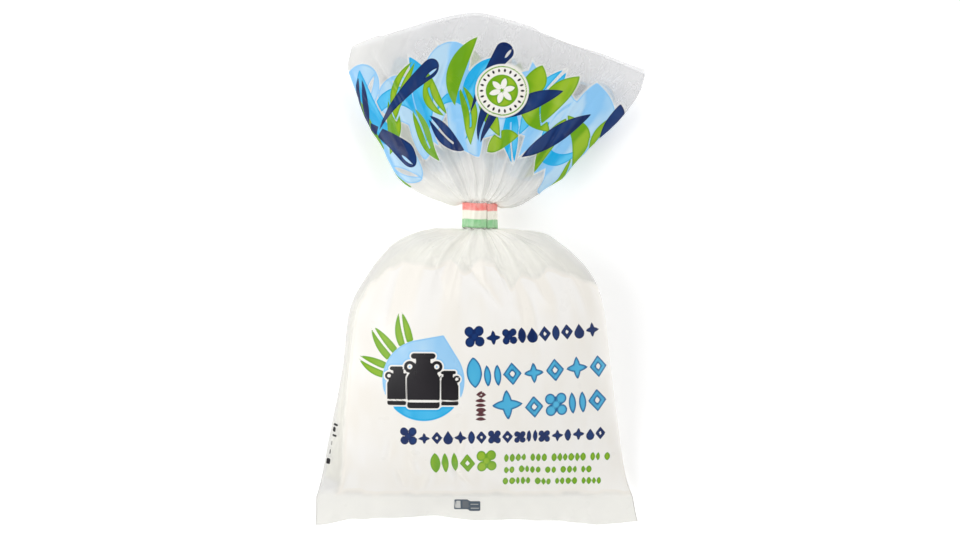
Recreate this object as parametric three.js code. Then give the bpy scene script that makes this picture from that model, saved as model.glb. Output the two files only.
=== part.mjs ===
// A filled cheese pouch: one film bag, heat sealed across the bottom, gathered in a neck by a turn of tape, with its
// open top fanned out above the tie. It lies on its back. Millimetres, +Z up, the open top towards +Y. While it is
// drawn, y = 0 is the tape's lower edge and x = 0 the middle of the neck.
import * as THREE from "three";

// Driving dimensions
const POUCH_LENGTH = 133; // tape to the inner edge of the bottom seal
const POUCH_DEPTH = 49; // underside to crown
const SEAL_WIDTH = 11.5;
const SEAL_THICKNESS = 1.2;
const SEAL_BOW = 1.6; // how far the middle of the seal's edge is drawn in
const TAPE_WIDTH = 12;
const TAPE_THICKNESS = 0.5;
const TAPE_CLEARANCE = 0.3;
const LAP_START = -50; // degrees round the neck, from +X over the top
const LAP_END = 64;
const NECK_HEIGHT = 19; // axis of the neck above the table
const NECK_HALF_WIDTH = 6.8;
const NECK_HALF_DEPTH = 6;
const NECK_SHOWING = 0.9; // neck left bare on each side of the tape
const NECK_PLEAT = 0.5;
const SHOULDER_PLEAT = 1.6;
const MOUTH_PLEAT = 0.5;
const MOUTH_SWELL = 1.2;
const PLEAT_RISE = 16; // along the film, from the tie to where its folds are deepest
const PLEAT_FADE = 60; // along the film, from there to where the pouch is smooth
const FLARE_REACH = 92.6; // tape to the ridge of the mouth
const FLARE_WALL = 0.9;
const CUP_FLOOR = 0.12; // share of the flare's length at which its hollow starts

// Mesh density
const RING_POINTS = 76;
const POUCH_RINGS = 26;
const FLARE_RINGS = 17;
const ARC_SAMPLES = 160;

const neckTop = NECK_HEIGHT + NECK_HALF_DEPTH;
const neckUnder = NECK_HEIGHT - NECK_HALF_DEPTH;
const neckStart = -NECK_SHOWING;
const neckEnd = TAPE_WIDTH + NECK_SHOWING;
const mouthRidge = TAPE_WIDTH + FLARE_REACH;

function guide(points) {
  return new THREE.CatmullRomCurve3(points.map((p) => new THREE.Vector3(...p)), false, "centripetal");
}

// Each half of the bag hangs on four guides that start at the neck: its left and right side folds, and the middles of
// its upper and lower sheets, which only use y and z.
const POUCH = {
  left: guide([
    [-NECK_HALF_WIDTH, neckStart, NECK_HEIGHT], [-20, -1.7, 19], [-34, -4.2, 19], [-46.5, -13, 19], [-55.6, -24.7, 19],
    [-62.8, -38, 19], [-67.4, -68.8, 16], [-72.9, -98.2, 12], [-78, -124, 7.5], [-80.8, -POUCH_LENGTH, 6],
  ]),
  right: guide([
    [NECK_HALF_WIDTH, neckStart, NECK_HEIGHT], [18, -1.9, 19], [32, -4.2, 19], [46, -13, 19], [56, -24.7, 19],
    [61, -38, 19], [64.6, -68.8, 16], [68.6, -98.2, 12], [72.6, -124, 7.5], [75.9, -POUCH_LENGTH, 6],
  ]),
  upper: guide([
    [0, neckStart, neckTop], [0, -4, 31], [0, -10, 38.5], [0, -20, 44.5], [0, -36, 48], [0, -60, POUCH_DEPTH],
    [0, -88, 44], [0, -110, 33], [0, -125, 18], [0, -POUCH_LENGTH, 6 + SEAL_THICKNESS / 2],
  ]),
  lower: guide([
    [0, neckStart, neckUnder], [0, -4, 9], [0, -10, 4.5], [0, -20, 1], [0, -36, -2], [0, -60, -4],
    [0, -88, -3.5], [0, -110, -1], [0, -125, 2.5], [0, -POUCH_LENGTH, 6 - SEAL_THICKNESS / 2],
  ]),
};
const FLARE = {
  left: guide([
    [-NECK_HALF_WIDTH, neckEnd, NECK_HEIGHT], [-18.5, 13.6, 19], [-31, 19.6, 17], [-39.6, 26, 15], [-46.6, 37, 13],
    [-54.8, 49, 11.5], [-61.2, 66.4, 10.5], [-64.3, 79, 10], [-63.2, 88.5, 10],
  ]),
  right: guide([
    [NECK_HALF_WIDTH, neckEnd, NECK_HEIGHT], [23.5, 13.5, 19], [34, 20, 17], [43.5, 28, 15], [56, 40, 13],
    [70, 54.6, 11.5], [79, 69.5, 10.5], [81, 78, 10],
  ]),
  upper: guide([
    [0, neckEnd, neckTop], [0, 16, 27.5], [0, 24, 28], [0, 40, 25], [0, 60, 21.5], [0, 80, 19.5],
    [0, mouthRidge, 19],
  ]),
  lower: guide([
    [0, neckEnd, neckUnder], [0, 16, 8], [0, 24, 3.5], [0, 40, 1], [0, 60, 0.6], [0, 80, 0.6],
    [0, mouthRidge, 1.4],
  ]),
};

// How blunt a section's side folds are, as the exponent of a superellipse, from the neck to the seal or the mouth.
const POUCH_BLUNTNESS = [[0, 2], [0.35, 2.1], [0.6, 2.25], [0.8, 1.9], [1, 1.3]];
// How the middle of a section runs ahead of its sides: 2 is an arc, 1 a tent.
const FLARE_TENT = [[0, 2], [0.5, 1.8], [1, 1.16]];
const RIDGE = -0.14; // the tent's ridge, across the mouth from -1 to 1

function smooth(at) {
  const t = THREE.MathUtils.clamp(at, 0, 1);
  return t * t * (3 - 2 * t);
}

// The value at a place among [place, value] stops, with no corner at the stops.
function between(stops, at) {
  const k = Math.min(stops.findIndex(([place]) => place >= at) - 1, stops.length - 2);
  const [[from, low], [to, high]] = stops.slice(Math.max(k, 0));
  return low + (high - low) * smooth((at - from) / (to - from));
}

// One section of the film tube: the four guide points at the same share of their lengths, and its folds' sizes.
function sectionAt(guides, share, shape) {
  const [left, right, upper, lower] = ["left", "right", "upper", "lower"].map((name) => guides[name].getPointAt(share));
  return { left, right, upper, lower, bluntness: 2, tent: 2, ridge: 0, pleat: 0, swell: 0, ...shape };
}

// across runs from -1 at the left fold to 1 at the right one.
function bowAt({ tent, ridge }, across) {
  const reach = across < ridge ? 1 + ridge : 1 - ridge;
  return 1 - Math.pow(Math.abs(across - ridge) / reach, tent);
}

function sheetPoint(section, across, middle) {
  const base = section.left.clone().lerp(section.right, (across + 1) / 2);
  const chord = section.left.clone().lerp(section.right, 0.5);
  const crown = Math.pow(Math.max(0, 1 - across * across), 1 / section.bluntness);
  base.y += (middle.y - chord.y) * bowAt(section, across);
  base.z += (middle.z - chord.z) * crown;
  return base;
}

// One sheet as a function of the share of its film's width from the left fold to the right one.
function sheetCurve(section, middle) {
  const line = [];
  for (let k = 0; k <= ARC_SAMPLES; k++) {
    line.push(sheetPoint(section, -Math.cos((Math.PI * k) / ARC_SAMPLES), middle));
  }
  const run = [0];
  for (let k = 1; k <= ARC_SAMPLES; k++) run.push(run[k - 1] + line[k].distanceTo(line[k - 1]));
  return (share) => {
    const want = share * run[ARC_SAMPLES];
    let k = 1;
    while (k < ARC_SAMPLES && run[k] < want) k++;
    return line[k - 1].clone().lerp(line[k], (want - run[k - 1]) / (run[k] - run[k - 1]));
  };
}

// One ring of the tube: over the upper sheet from the left fold to the right one, and back under the lower sheet.
function ringOf(section) {
  const over = sheetCurve(section, section.upper);
  const under = sheetCurve(section, section.lower);
  return Array.from({ length: RING_POINTS }, (_, j) => {
    const turn = (2 * j) / RING_POINTS;
    return turn <= 1 ? over(turn) : under(2 - turn);
  });
}

// The depth of the folds at a distance along the film from the tie.
function pleatDepth(distance, end) {
  const rise = smooth(distance / PLEAT_RISE);
  const fade = smooth((distance - PLEAT_RISE) / PLEAT_FADE);
  return NECK_PLEAT + (SHOULDER_PLEAT - NECK_PLEAT) * rise + (end - SHOULDER_PLEAT) * fade;
}

function sealSections() {
  const edge = sectionAt(POUCH, 1, {});
  for (const point of [edge.left, edge.right, edge.upper, edge.lower]) {
    point.y -= SEAL_WIDTH;
    point.z -= 3;
  }
  edge.upper.y += SEAL_BOW;
  edge.lower.y += SEAL_BOW;
  return [{ ...edge, bluntness: 1.6 }];
}

function pouchSections() {
  const length = POUCH.upper.getLength();
  return Array.from({ length: POUCH_RINGS }, (_, i) => {
    const share = Math.pow(1 - i / POUCH_RINGS, 1.3);
    const pleat = pleatDepth(share * length, 0);
    return sectionAt(POUCH, share, { bluntness: between(POUCH_BLUNTNESS, share), pleat });
  });
}

function neckSections() {
  return [0, 1].map((end) => sectionAt([POUCH, FLARE][end], 0, { pleat: NECK_PLEAT }));
}

function flareSections() {
  const length = FLARE.upper.getLength();
  return Array.from({ length: FLARE_RINGS }, (_, i) => {
    const share = Math.pow((i + 1) / FLARE_RINGS, 1.2);
    const pleat = pleatDepth(share * length, MOUTH_PLEAT);
    return sectionAt(FLARE, share, {
      tent: between(FLARE_TENT, share), ridge: RIDGE * share, pleat, swell: MOUTH_SWELL * share,
    });
  });
}

// Short folds that run out of the neck, still at both side folds. turn is the angle round the tube.
function pleatWave(turn) {
  return 0.55 * Math.sin(9 * turn + 0.5 * Math.sin(2 * turn)) + 0.45 * Math.sin(16 * turn + 0.8 * Math.sin(3 * turn));
}

// Slow waves of the fanned-out sheets.
function swellWave(turn) {
  return Math.sin(4 * turn) + 0.5 * Math.sin(7 * turn);
}

function normalAt(rings, i, j) {
  const around = rings[i][(j + 1) % RING_POINTS].clone().sub(rings[i][(j + RING_POINTS - 1) % RING_POINTS]);
  const along = rings[Math.min(i + 1, rings.length - 1)][j].clone().sub(rings[Math.max(i - 1, 0)][j]);
  return around.cross(along).normalize();
}

function moved(rings, distance) {
  return rings.map((ring, i) => ring.map((p, j) => p.clone().addScaledVector(normalAt(rings, i, j), distance(i, j))));
}

// The outside of the film, ring by ring from the seal's edge to the mouth, flat where it lies on the table.
function outerRings() {
  const sections = [...sealSections(), ...pouchSections(), ...neckSections(), ...flareSections()];
  const folded = moved(sections.map(ringOf), (i, j) => {
    const turn = (2 * Math.PI * j) / RING_POINTS;
    return sections[i].pleat * pleatWave(turn) + sections[i].swell * swellWave(turn);
  });
  return folded.map((ring) => ring.map((p) => p.setZ(Math.max(p.z, 0))));
}

// Joins rings into one closed surface. The first ring is closed from sheet to sheet, and the last by a point.
function skinOf(rings) {
  const positions = rings.flat().flatMap((p) => p.toArray());
  const faces = [];
  const at = (i, j) => i * RING_POINTS + (j % RING_POINTS);
  for (let i = 0; i + 1 < rings.length; i++) {
    for (let j = 0; j < RING_POINTS; j++) {
      faces.push(at(i, j), at(i, j + 1), at(i + 1, j));
      faces.push(at(i, j + 1), at(i + 1, j + 1), at(i + 1, j));
    }
  }
  for (let j = 0; j < RING_POINTS / 2; j++) {
    const [back, next] = [RING_POINTS - j, RING_POINTS - j - 1];
    if (j > 0) faces.push(at(0, j), at(0, back), at(0, j + 1));
    if (j + 1 < RING_POINTS / 2) faces.push(at(0, j + 1), at(0, back), at(0, next));
  }
  const last = rings.length - 1;
  const centre = rings[last].reduce((sum, p) => sum.add(p), new THREE.Vector3()).divideScalar(RING_POINTS);
  positions.push(...centre.toArray());
  const tip = rings.length * RING_POINTS;
  for (let j = 0; j < RING_POINTS; j++) faces.push(at(last, j), at(last, j + 1), tip);
  const geometry = new THREE.BufferGeometry();
  geometry.setAttribute("position", new THREE.Float32BufferAttribute(positions, 3));
  geometry.setIndex(faces);
  return geometry;
}

// Full as far as the neck, and a hollow cup of thin film beyond it.
function bagGeometry() {
  const outside = outerRings();
  const cupRings = Math.round(FLARE_RINGS * Math.pow(1 - CUP_FLOOR, 1.2));
  const inside = moved(outside, () => -FLARE_WALL).slice(-cupRings).reverse();
  return skinOf([...outside, ...inside]);
}

// A turn of tape round the neck. Its end laps over its start on the upper right.
function tapeGeometry() {
  const across = NECK_HALF_WIDTH + NECK_PLEAT + TAPE_CLEARANCE;
  const up = NECK_HALF_DEPTH + NECK_PLEAT + TAPE_CLEARANCE;
  const lapStart = THREE.MathUtils.degToRad(LAP_START);
  const lapEnd = THREE.MathUtils.degToRad(LAP_END);
  const arc = (layers, from, to, clockwise) => {
    const out = layers * TAPE_THICKNESS;
    return new THREE.EllipseCurve(0, 0, across + out, up + out, from, to, clockwise).getPoints(28);
  };
  const shape = new THREE.Shape([
    ...arc(2, lapStart, lapEnd, false),
    ...arc(1, lapEnd, lapStart + 2 * Math.PI, false),
  ]);
  shape.holes.push(new THREE.Path(arc(0, 0, 2 * Math.PI, true).slice(0, -1)));
  const geometry = new THREE.ExtrudeGeometry(shape, { depth: TAPE_WIDTH, bevelEnabled: false });
  geometry.rotateX(Math.PI / 2);
  geometry.translate(0, TAPE_WIDTH, NECK_HEIGHT);
  return geometry;
}

function mesh(name, geometry, colour, roughness) {
  const material = new THREE.MeshStandardMaterial({ color: colour, roughness, metalness: 0 });
  const made = new THREE.Mesh(geometry, material);
  made.name = name;
  return made;
}

// The frame's origin is under the middle of the pack, on the table.
const pack = new THREE.Group();
pack.add(mesh("bag", bagGeometry(), 0xf4f2ec, 0.4));
pack.add(mesh("tie_tape", tapeGeometry(), 0xe9ece2, 0.5));
const box = new THREE.Box3().setFromObject(pack);
const middle = box.getCenter(new THREE.Vector3());
pack.position.set(-middle.x, -middle.y, -box.min.z);

const part = new THREE.Group();
part.add(pack);
export default part;
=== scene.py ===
"""A tied film bag of mozzarella in brine, lying on its back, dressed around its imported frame.

Lengths are in millimetres in the bag's own drawing frame, where x = 0 is the middle of the neck, y = 0 the
tape's lower edge and z = 0 the table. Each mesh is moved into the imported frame, in metres, when it is made.

Places on the film are given by two film coordinates: s runs once round the tube from the left side fold, over
the front sheet and back under the rear one, and d is the film's distance from the tie.
"""

import logging
import math
from collections.abc import Iterable
from dataclasses import dataclass, field
from enum import Enum

import bpy
import numpy as np
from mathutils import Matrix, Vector


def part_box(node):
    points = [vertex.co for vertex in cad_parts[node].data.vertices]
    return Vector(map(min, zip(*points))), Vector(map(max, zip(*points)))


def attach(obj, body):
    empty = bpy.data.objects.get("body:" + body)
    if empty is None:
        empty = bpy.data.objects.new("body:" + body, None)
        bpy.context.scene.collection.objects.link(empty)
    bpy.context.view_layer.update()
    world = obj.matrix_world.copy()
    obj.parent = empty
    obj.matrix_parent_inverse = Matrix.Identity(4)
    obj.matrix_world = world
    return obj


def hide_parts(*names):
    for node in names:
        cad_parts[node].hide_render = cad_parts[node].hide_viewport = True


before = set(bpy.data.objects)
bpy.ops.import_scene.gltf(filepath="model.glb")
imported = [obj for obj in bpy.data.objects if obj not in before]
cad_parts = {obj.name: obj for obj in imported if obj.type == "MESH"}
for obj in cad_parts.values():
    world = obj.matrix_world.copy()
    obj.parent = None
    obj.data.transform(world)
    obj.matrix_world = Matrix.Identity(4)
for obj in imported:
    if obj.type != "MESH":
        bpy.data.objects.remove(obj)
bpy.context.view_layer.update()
LOG = logging.getLogger("cheese_bag")

Array = np.ndarray
Stops = tuple[tuple[float, float], ...]
Colour = tuple[float, float, float]
Socket = bpy.types.NodeSocket

MM = 0.001
BODY = "root"
LAY_FLAT = 158.0  # width of the film tube pressed flat
ROUND = 2 * LAY_FLAT  # film once round the tube
NECK_HEIGHT = 19.0
NECK_HALF_WIDTH = 6.8
NECK_HALF_DEPTH = 6.0
NECK_SHOWING = 0.9
NECK_PLEAT = 0.5
TAPE_WIDTH = 12.0
TAPE_THICKNESS = 0.5
TAPE_CLEARANCE = 0.3
POUCH_LENGTH = 133.0
POUCH_FILM = 158.0  # film from the tie to the seal
FLARE_FILM = 98.0  # film from the tie to the mouth


def srgb(red: int, green: int, blue: int) -> Colour:
    """Turns a screen colour of 0 to 255 a channel into linear light."""
    channels = (c / 255 for c in (red, green, blue))
    return tuple(c / 12.92 if c <= 0.04045 else ((c + 0.055) / 1.055) ** 2.4 for c in channels)


def smooth(at: Array | float) -> Array:
    """Eases from 0, at places of 0 and less, to 1, at places of 1 and more, with no corner in between."""
    t = np.clip(at, 0.0, 1.0)
    return t * t * (3 - 2 * t)


def between(stops: Stops, at: Array) -> Array:
    """Reads values at places among stops, with no corner at the stops.

    Args:
        stops: Pairs of a place and its value, in rising order of place.
        at: The places to read.

    Returns:
        The values there.
    """
    value = np.full_like(at, stops[0][1], dtype=float)
    for (start, low), (end, high) in zip(stops, stops[1:]):
        value = np.where(at > start, low + (high - low) * smooth((at - start) / (end - start)), value)
    return value


def film_noise(s: Array, d: Array, cell: float, seed: int) -> Array:
    """Smooth noise over the film that meets itself round the tube.

    Args:
        s: Film round the tube, in mm.
        d: Film along the tube, in mm.
        cell: Size of the noise's cells, in mm.
        seed: Seed of the draw.

    Returns:
        Values from -1 to 1.
    """
    columns = max(3, round(ROUND / cell))
    rows = 96
    grid = np.random.default_rng(seed).uniform(-1, 1, (rows, columns))
    x = np.mod(s / ROUND, 1.0) * columns
    y = np.mod(d / cell + rows / 2, rows)
    i, j = np.floor(y).astype(int) % rows, np.floor(x).astype(int) % columns
    ty, tx = smooth(y - np.floor(y)), smooth(x - np.floor(x))
    below = grid[i, j] * (1 - tx) + grid[i, (j + 1) % columns] * tx
    above = grid[(i + 1) % rows, j] * (1 - tx) + grid[(i + 1) % rows, (j + 1) % columns] * tx
    return below * (1 - ty) + above * ty


def crumple(s: Array, d: Array, cell: float, depth: float, seed: int) -> Array:
    """Creases of crumpled film: sharp ridges between soft facets, at three scales.

    Args:
        s: Film round the tube, in mm.
        d: Film along the tube, in mm.
        cell: Size of the largest facets, in mm.
        depth: Height of the largest ridges, in mm.
        seed: Seed of the draw.

    Returns:
        Heights out of the surface.
    """
    height = 0.0
    for k in range(3):
        sway = cell * 0.35 / 2**k * film_noise(s, d, cell * 1.4, seed + 50 + k)
        facets = 1 - 2 * np.abs(film_noise(s + sway, d + sway, cell / 2**k, seed + k))
        height = height + depth / 2.1**k * facets
    return height


# Form: guides, sections and skins


@dataclass(frozen=True)
class Guide:
    """A smooth line through a few points, read by shares of its length."""

    points: tuple[tuple[float, float, float], ...]
    steps: int = 24

    def polyline(self) -> Array:
        """Samples the centripetal Catmull-Rom curve through the points.

        Returns:
            Points along the curve, close together.
        """
        inner = np.array(self.points, float)
        points = np.vstack([2 * inner[0] - inner[1], inner, 2 * inner[-1] - inner[-2]])
        t = np.linspace(0, 1, self.steps, endpoint=False)[:, None]
        spans = []
        for p0, p1, p2, p3 in zip(points, points[1:], points[2:], points[3:]):
            d0, d1, d2 = (math.sqrt(np.linalg.norm(b - a)) for a, b in ((p0, p1), (p1, p2), (p2, p3)))
            start = d1 * ((p1 - p0) / d0 - (p2 - p0) / (d0 + d1) + (p2 - p1) / d1)
            end = d1 * ((p2 - p1) / d1 - (p3 - p1) / (d1 + d2) + (p3 - p2) / d2)
            spans.append(
                p1 * (2 * t**3 - 3 * t**2 + 1) + start * (t**3 - 2 * t**2 + t)
                + p2 * (3 * t**2 - 2 * t**3) + end * (t**3 - t**2)
            )
        return np.vstack([*spans, inner[-1:]])

    def at(self, shares: Array) -> Array:
        """Reads points at shares of the guide's length.

        Args:
            shares: Values from 0 at the first point to 1 at the last.

        Returns:
            One point a row.
        """
        line = self.polyline()
        run = np.concatenate([[0.0], np.cumsum(np.linalg.norm(np.diff(line, axis=0), axis=1))])
        return np.stack([np.interp(shares * run[-1], run, line[:, k]) for k in range(3)], axis=1)


@dataclass(frozen=True)
class SectionShape:
    """How sections of the tube are rounded, along shares of its guides."""

    bluntness: Stops = ((0.0, 2.0), (1.0, 2.0))  # 2 is an ellipse, more is boxier
    tent: Stops = ((0.0, 2.0), (1.0, 2.0))  # how a section runs ahead at its middle: 2 is a bow, 1 a tent
    ridge: float = 0.0  # where the last section's tent peaks, from -1 at the left fold to 1 at the right
    ridge_round: float = 0.0


@dataclass(frozen=True)
class Net:
    """How a ring is divided. A ring that is zipped has as many or twice as many spaces in front as behind."""

    front: int
    back: int

    @property
    def count(self) -> int:
        """Points in a ring."""
        return self.front + self.back

    def film(self) -> Array:
        """Film round the tube at the points of a ring.

        Returns:
            A row of distances in mm.
        """
        over = np.arange(self.front) / self.front
        under = 1 + np.arange(self.back) / self.back
        return LAY_FLAT * np.concatenate([over, under])[None, :]

    def faces(self, rings: int, end: "End") -> list[Array]:
        """Faces between rings, and those that close the skin.

        Args:
            rings: Number of rings.
            end: How the skin is closed.

        Returns:
            Arrays of vertex numbers, one face a row, turned so that the faces point out.
        """
        last = rings if end is End.LOOP else rings - 1
        i, j = (grid.ravel() for grid in np.meshgrid(np.arange(last), np.arange(self.count), indexing="ij"))
        near, far = i * self.count, (i + 1) % rings * self.count
        following = (j + 1) % self.count
        made = [np.stack([near + j, near + following, far + following, far + j], axis=1)]
        if end is End.ZIP:
            ratio = self.front // self.back
            step = np.arange(self.back)[:, None]
            over = step * ratio + np.arange(ratio + 1)[None, :]
            under = (self.count - step - np.arange(2)[None, :]) % self.count
            first = np.concatenate([over[:, ::-1], under], axis=1)
            made += [first, first[:, ::-1] + (rings - 1) * self.count]
        return made


class End(Enum):
    """How a skin of rings is closed at its first and last ring."""

    ZIP = "sheet to sheet"
    LOOP = "last ring to first ring"


@dataclass(frozen=True)
class TubeHalf:
    """Half of the film tube, hung on its side folds and on the middles of its two sheets."""

    left: Guide
    right: Guide
    upper: Guide
    lower: Guide
    shape: SectionShape
    samples: int = 160

    def sheet(self, shares: Array, middle: Guide, count: int) -> Array:
        """Points of one sheet from the left fold to the right one, evenly spaced over its film.

        Args:
            shares: Where the sections are, as shares of the guides' lengths.
            middle: The guide that the middle of this sheet follows.
            count: Spaces between points in a section.

        Returns:
            An array of sections by points by coordinates.
        """
        left, right, crown = (g.at(shares)[:, None, :] for g in (self.left, self.right, middle))
        across = -np.cos(np.linspace(0, np.pi, self.samples + 1))[None, :]
        ridge = (self.shape.ridge * shares)[:, None]
        reach = np.where(across < ridge, 1 + ridge, 1 - ridge)
        blunt = (self.shape.ridge_round * shares)[:, None]
        away = (np.hypot(across - ridge, blunt) - blunt) / (np.hypot(reach, blunt) - blunt)
        bow = 1 - away ** between(self.shape.tent, shares)[:, None]
        dome = np.maximum(0, 1 - across**2) ** (1 / between(self.shape.bluntness, shares)[:, None])
        chord = (left + right) / 2
        line = left + (right - left) * ((across + 1) / 2)[:, :, None]
        line[:, :, 1] += (crown - chord)[:, :, 1] * bow
        line[:, :, 2] += (crown - chord)[:, :, 2] * dome
        made = np.empty((len(shares), count + 1, 3))
        for i, section in enumerate(line):
            run = np.concatenate([[0.0], np.cumsum(np.linalg.norm(np.diff(section, axis=0), axis=1))])
            even = np.linspace(0, run[-1], count + 1)
            made[i] = np.stack([np.interp(even, run, section[:, k]) for k in range(3)], axis=1)
        return made

    def rings(self, shares: Array, net: Net) -> Array:
        """Sections of the tube as rings, over the upper sheet and back under the lower one.

        Args:
            shares: Where the rings are, as shares of the guides' lengths.
            net: How a ring is divided.

        Returns:
            An array of rings by points by coordinates.
        """
        over = self.sheet(shares, self.upper, net.front)
        under = self.sheet(shares, self.lower, net.back)
        return np.concatenate([over, under[:, -2:0:-1]], axis=1)


def normals_of(rings: Array) -> Array:
    """Outward normals of a tube of rings.

    Args:
        rings: Rings by points by coordinates.

    Returns:
        Unit vectors in the same layout.
    """
    around = np.roll(rings, -1, axis=1) - np.roll(rings, 1, axis=1)
    along = np.gradient(rings, axis=0)
    cross = np.cross(around, along)
    return cross / np.maximum(np.linalg.norm(cross, axis=2, keepdims=True), 1e-9)


def origin_of_drawing() -> Array:
    """Where the drawing frame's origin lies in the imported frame, read from the tape's box.

    Returns:
        The origin in mm.
    """
    low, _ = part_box("tie_tape")
    reach = NECK_PLEAT + TAPE_CLEARANCE + TAPE_THICKNESS
    corner = np.array([-NECK_HALF_WIDTH - reach, 0.0, NECK_HEIGHT - NECK_HALF_DEPTH - reach])
    return np.array(low) / MM - corner


ORIGIN = origin_of_drawing()


def add_object(name: str, data: bpy.types.ID) -> bpy.types.Object:
    """Adds an object to the scene.

    Args:
        name: Its name.
        data: Its mesh, light or camera.

    Returns:
        The object.
    """
    made = bpy.data.objects.new(name, data)
    bpy.context.scene.collection.objects.link(made)
    return made


@dataclass(frozen=True)
class Role:
    """What a piece stands for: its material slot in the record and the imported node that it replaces."""

    slot: str
    node: str


def make_piece(
    name: str, role: Role, rings: Array, faces: Iterable[Array], values: dict[str, Array],
    finish: bpy.types.Material,
) -> bpy.types.Object:
    """Makes a smooth mesh piece that rides on the part.

    Args:
        name: The piece's name.
        role: What it stands for.
        rings: Vertices in mm, in the drawing frame.
        faces: Arrays of vertex numbers, one face a row.
        values: Numbers at each vertex, by attribute name.
        finish: The piece's material.

    Returns:
        The new object.
    """
    places = (rings.reshape(-1, 3) + ORIGIN) * MM
    corners = [list(dict.fromkeys(face)) for rows in faces for face in rows.tolist()]
    corners = [face for face in corners if len(face) > 2]
    mesh = bpy.data.meshes.new(name)
    mesh.vertices.add(len(places))
    mesh.vertices.foreach_set("co", places.ravel())
    mesh.loops.add(sum(map(len, corners)))
    mesh.loops.foreach_set("vertex_index", [number for face in corners for number in face])
    mesh.polygons.add(len(corners))
    mesh.polygons.foreach_set("loop_start", np.cumsum([0] + [len(face) for face in corners[:-1]]))
    for key, numbers in values.items():
        attribute = mesh.attributes.new(key, "FLOAT", "POINT")
        attribute.data.foreach_set("value", numbers.astype(np.float32).ravel())
    mesh.update(calc_edges=True)
    mesh.validate()
    mesh.shade_smooth()
    mesh.materials.append(finish)
    made = add_object(name, mesh)
    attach(made, BODY)
    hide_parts(role.node)
    return made


# Folds and creases of the film


@dataclass(frozen=True)
class Gather:
    """Folds that run out of the tie. Depths and distances are in mm."""

    deepest: float = 1.6
    at_end: float = 0.0
    neck_fill: float = 0.35  # how much fuller than its drawing the neck is under the tape
    rise: float = 16.0
    fade: float = 60.0
    fine: float = 0.75
    fine_fade: float = 46.0
    finest: float = 0.4
    finest_fade: float = 26.0

    def broad(self, turn: Array, d: Array) -> Array:
        """Height of the broad folds.

        Args:
            turn: Angle round the tube.
            d: Film from the tie.

        Returns:
            Heights out of the surface.
        """
        depth = (
            NECK_PLEAT + (self.deepest - NECK_PLEAT) * smooth(d / self.rise)
            + (self.at_end - self.deepest) * smooth((d - self.rise) / self.fade)
        )
        wide = np.sin(9 * turn + 0.5 * np.sin(2 * turn))
        narrow = np.sin(16 * turn + 0.8 * np.sin(3 * turn))
        return depth * (0.55 * wide + 0.45 * narrow) + self.neck_fill * (1 - smooth(d / 8))

    def small(self, turn: Array, d: Array) -> Array:
        """Height of the small folds, with sharp ridges.

        Args:
            turn: Angle round the tube.
            d: Film from the tie.

        Returns:
            Heights out of the surface.
        """
        free = smooth((d - 1) / 5)
        sway = film_noise(turn * ROUND / (2 * math.pi), d, 30.0, 17)
        first = np.abs(np.cos(14.5 * turn + 0.9 * np.sin(5 * turn + 1) + 0.9 * sway))
        second = np.abs(np.cos(28.5 * turn + 1.3 * np.sin(7 * turn) + 1.3 * sway))
        first_depth = self.fine * free * (1 - smooth((d - 10) / self.fine_fade))
        second_depth = self.finest * free * (1 - smooth((d - 5) / self.finest_fade))
        return first_depth * (1 - 2 * first) + second_depth * (1 - 2 * second)


@dataclass(frozen=True)
class Crease:
    """A crease between two places (s, d). A positive depth makes a valley and a negative one a ridge."""

    start: tuple[float, float]
    end: tuple[float, float]
    depth: float
    width: float
    bow: float = 0.0  # how far its middle bows towards a larger s, in mm

    def height(self, s: Array, d: Array) -> Array:
        """Height that the crease adds.

        Args:
            s: Film round the tube.
            d: Film from the tie.

        Returns:
            Heights out of the surface.
        """
        step = (self.end[0] - self.start[0], self.end[1] - self.start[1])
        length = math.hypot(*step)
        ds = np.mod(s - self.start[0] + LAY_FLAT, ROUND) - LAY_FLAT
        dd = d - self.start[1]
        along = (ds * step[0] + dd * step[1]) / length**2
        run = np.clip(1 - (2 * along - 1) ** 2, 0, 1)
        off = np.abs((ds * step[1] - dd * step[0]) / length - self.bow * run)
        return -self.depth * run * np.exp(-off / self.width)


@dataclass(frozen=True)
class CreaseField:
    """Creases scattered over a band of film. Lengths are in mm."""

    count: int
    seed: int
    band: tuple[float, float]  # where their middles lie, as film from the tie
    lengths: tuple[float, float]
    depth: float  # of the deepest valley or highest ridge
    tilt: float  # greatest angle from along the tube, in radians
    widths: tuple[float, float] = (1.0, 3.0)

    def draw(self) -> list[Crease]:
        """Draws the creases.

        Returns:
            The creases.
        """
        rng = np.random.default_rng(self.seed)
        made = []
        for _ in range(self.count):
            s, d = rng.uniform(0, ROUND), rng.uniform(*self.band)
            half, angle = rng.uniform(*self.lengths) / 2, rng.uniform(-self.tilt, self.tilt)
            reach = (half * math.sin(angle), half * math.cos(angle))
            depth, width = self.depth * rng.uniform(-1, 1), rng.uniform(*self.widths)
            made.append(Crease((s - reach[0], d - reach[1]), (s + reach[0], d + reach[1]), depth, width))
        return made


# Print: shapes as signed distances over the film, and the inks they are filled with


class Ink(Enum):
    """Inks from the lowest to the topmost, each with the attribute that says how far inside it a point is."""

    WHITE = "ink_white"
    SKY = "ink_sky"
    CYAN = "ink_cyan"
    AZURE = "ink_azure"
    GREEN = "ink_green"
    NAVY = "ink_navy"
    WINE = "ink_wine"
    SLATE = "ink_slate"
    BLACK = "ink_black"


@dataclass(frozen=True)
class Tint:
    """The two tones that an ink drifts between over the film, at random and with painted light and shade
    across its folds, and the tone of its rim where that differs.
    """

    deep: Colour
    light: Colour
    rim: Colour | None = None


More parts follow.
